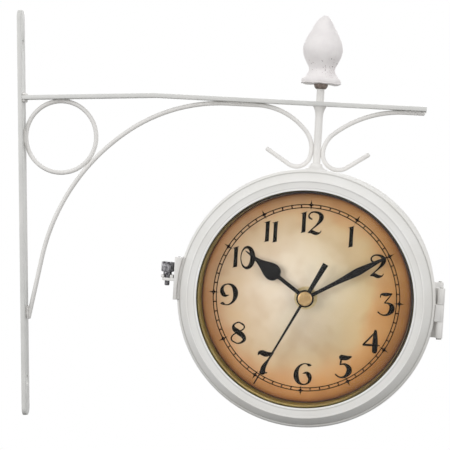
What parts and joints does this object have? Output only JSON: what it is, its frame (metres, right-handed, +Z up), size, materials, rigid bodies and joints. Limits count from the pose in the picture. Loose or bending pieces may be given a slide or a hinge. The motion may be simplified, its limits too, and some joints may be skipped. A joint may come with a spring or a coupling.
{
  "type": "double sided station clock",
  "caption": "Round wall-bracket clock with a dial and a hinged glazed door on each side, hung from a scrolled iron arm with a bud finial.",
  "frame": {"origin": "midway between the two wall screws, on the back of the wall bar", "axes": "+X away from the wall along the arm, +Z up, the front dial faces -Y and the rear dial +Y"},
  "size_m": [0.3064, 0.0928, 0.2978],
  "materials": {
    "bracket_paint": "satin off-white enamel",
    "case_paint": "satin off-white enamel",
    "finial_paint": "worn off-white paint with speckles",
    "bare_ferrule": "dull, brownish",
    "clear_glass": "flat and clear",
    "printed_dial": "printed, aged tan, darker towards the rim",
    "spacer_gilt": "dull olive gilt",
    "hand_black": "satin black",
    "brass": "polished",
    "latch_chrome": "dark bright plating",
    "zinc_steel": "zinc plated",
    "movement_plastic": "moulded",
    "gear_plastic": "moulded",
    "cell_jacket": "plain jacket",
    "board_resin": "coated"
  },
  "bodies": {
    "bracket": {"wall_bar": "bracket_paint", "top_arm": "bracket_paint", "brace_rod": "bracket_paint", "corner_ring": "bracket_paint", "outer_scroll": "bracket_paint", "hanger_post": "bracket_paint", "finial_ferrule": "bare_ferrule", "finial": "finial_paint", "post_washer": "zinc_steel", "post_lock_nut": "zinc_steel"},
    "case": {"drum_shell": "case_paint", "hanger_flange": "case_paint", "hanger_pad": "zinc_steel", "hinge_pins": "zinc_steel", "bushing_nuts": "brass", "battery_contacts": "zinc_steel", "front_drum_hinge_leaf": "case_paint", "front_latch_fork": "case_paint", "front_dial_plate": "printed_dial", "front_spacer_ring": "spacer_gilt", "front_movement_housing": "movement_plastic", "front_movement_cover": "movement_plastic", "front_battery": "cell_jacket", "front_circuit_board": "board_resin", "rear_drum_hinge_leaf": "case_paint", "rear_latch_fork": "case_paint", "rear_dial_plate": "printed_dial", "rear_spacer_ring": "spacer_gilt", "rear_movement_housing": "movement_plastic", "rear_movement_cover": "movement_plastic", "rear_battery": "cell_jacket", "rear_circuit_board": "board_resin"},
    "front_door": {"front_bezel_ring": "case_paint", "front_door_glass": "clear_glass", "front_glass_retainer": "zinc_steel", "front_door_hinge_leaf": "case_paint", "front_latch_lug": "case_paint"},
    "front_latch_screw": {"front_thumbscrew": "latch_chrome"},
    "front_hour": {"front_hour_hand": "hand_black", "front_hour_wheel": "gear_plastic"},
    "front_minute": {"front_minute_hand": "hand_black", "front_cannon_pinion": "brass"},
    "front_second": {"front_second_hand": "hand_black", "front_seconds_arbor": "zinc_steel", "front_hand_cap": "brass"},
    "front_setting": {"front_setting_wheel": "gear_plastic"},
    "rear_door": {"rear_bezel_ring": "case_paint", "rear_door_glass": "clear_glass", "rear_glass_retainer": "zinc_steel", "rear_door_hinge_leaf": "case_paint", "rear_latch_lug": "case_paint"},
    "rear_latch_screw": {"rear_thumbscrew": "latch_chrome"},
    "rear_hour": {"rear_hour_hand": "hand_black", "rear_hour_wheel": "gear_plastic"},
    "rear_minute": {"rear_minute_hand": "hand_black", "rear_cannon_pinion": "brass"},
    "rear_second": {"rear_second_hand": "hand_black", "rear_seconds_arbor": "zinc_steel", "rear_hand_cap": "brass"},
    "rear_setting": {"rear_setting_wheel": "gear_plastic"}
  },
  "joints": [
    {"name": "case_swivel", "type": "hinge", "parent": "bracket", "child": "case", "pos_m": [0.20998, 0, -0.06001], "axis": [0.0663, 0, 0.9978], "continuous": true},
    {"name": "front_door_hinge", "type": "hinge", "parent": "case", "child": "front_door", "pos_m": [0.30281, -0.034, -0.07018], "axis": [0.0663, 0, 0.9978], "range_deg": [0, 110]},
    {"name": "front_latch_turn", "type": "hinge", "parent": "front_door", "child": "front_latch_screw", "pos_m": [0.11346, -0.036, -0.04508], "axis": [0.0663, 0, 0.9978], "range_deg": [0, 720]},
    {"name": "front_hour_turn", "type": "hinge", "parent": "case", "child": "front_hour", "pos_m": [0.20998, -0.0328, -0.06001], "axis": [0, 1, 0], "continuous": true},
    {"name": "front_minute_turn", "type": "hinge", "parent": "case", "child": "front_minute", "pos_m": [0.20998, -0.0348, -0.06001], "axis": [0, 1, 0], "continuous": true},
    {"name": "front_second_turn", "type": "hinge", "parent": "case", "child": "front_second", "pos_m": [0.20998, -0.0366, -0.06001], "axis": [0, 1, 0], "continuous": true},
    {"name": "front_setting_turn", "type": "hinge", "parent": "case", "child": "front_setting", "pos_m": [0.20958, -0.0242, -0.06599], "axis": [0, 1, 0], "continuous": true},
    {"name": "rear_door_hinge", "type": "hinge", "parent": "case", "child": "rear_door", "pos_m": [0.30281, 0.034, -0.07018], "axis": [-0.0663, 0, -0.9978], "range_deg": [0, 110]},
    {"name": "rear_latch_turn", "type": "hinge", "parent": "rear_door", "child": "rear_latch_screw", "pos_m": [0.11346, 0.036, -0.04508], "axis": [0.0663, 0, 0.9978], "range_deg": [0, 720]},
    {"name": "rear_hour_turn", "type": "hinge", "parent": "case", "child": "rear_hour", "pos_m": [0.20998, 0.0328, -0.06001], "axis": [0, -1, 0], "continuous": true},
    {"name": "rear_minute_turn", "type": "hinge", "parent": "case", "child": "rear_minute", "pos_m": [0.20998, 0.0348, -0.06001], "axis": [0, -1, 0], "continuous": true},
    {"name": "rear_second_turn", "type": "hinge", "parent": "case", "child": "rear_second", "pos_m": [0.20998, 0.0366, -0.06001], "axis": [0, -1, 0], "continuous": true},
    {"name": "rear_setting_turn", "type": "hinge", "parent": "case", "child": "rear_setting", "pos_m": [0.20958, 0.0242, -0.06599], "axis": [0, -1, 0], "continuous": true}
  ],
  "couplings": [
    {"joint": "front_hour_turn", "follows": "front_minute_turn", "ratio": 0.083333},
    {"joint": "front_setting_turn", "follows": "front_minute_turn", "ratio": -0.33333},
    {"joint": "rear_hour_turn", "follows": "rear_minute_turn", "ratio": 0.083333},
    {"joint": "rear_setting_turn", "follows": "rear_minute_turn", "ratio": -0.33333}
  ]
}
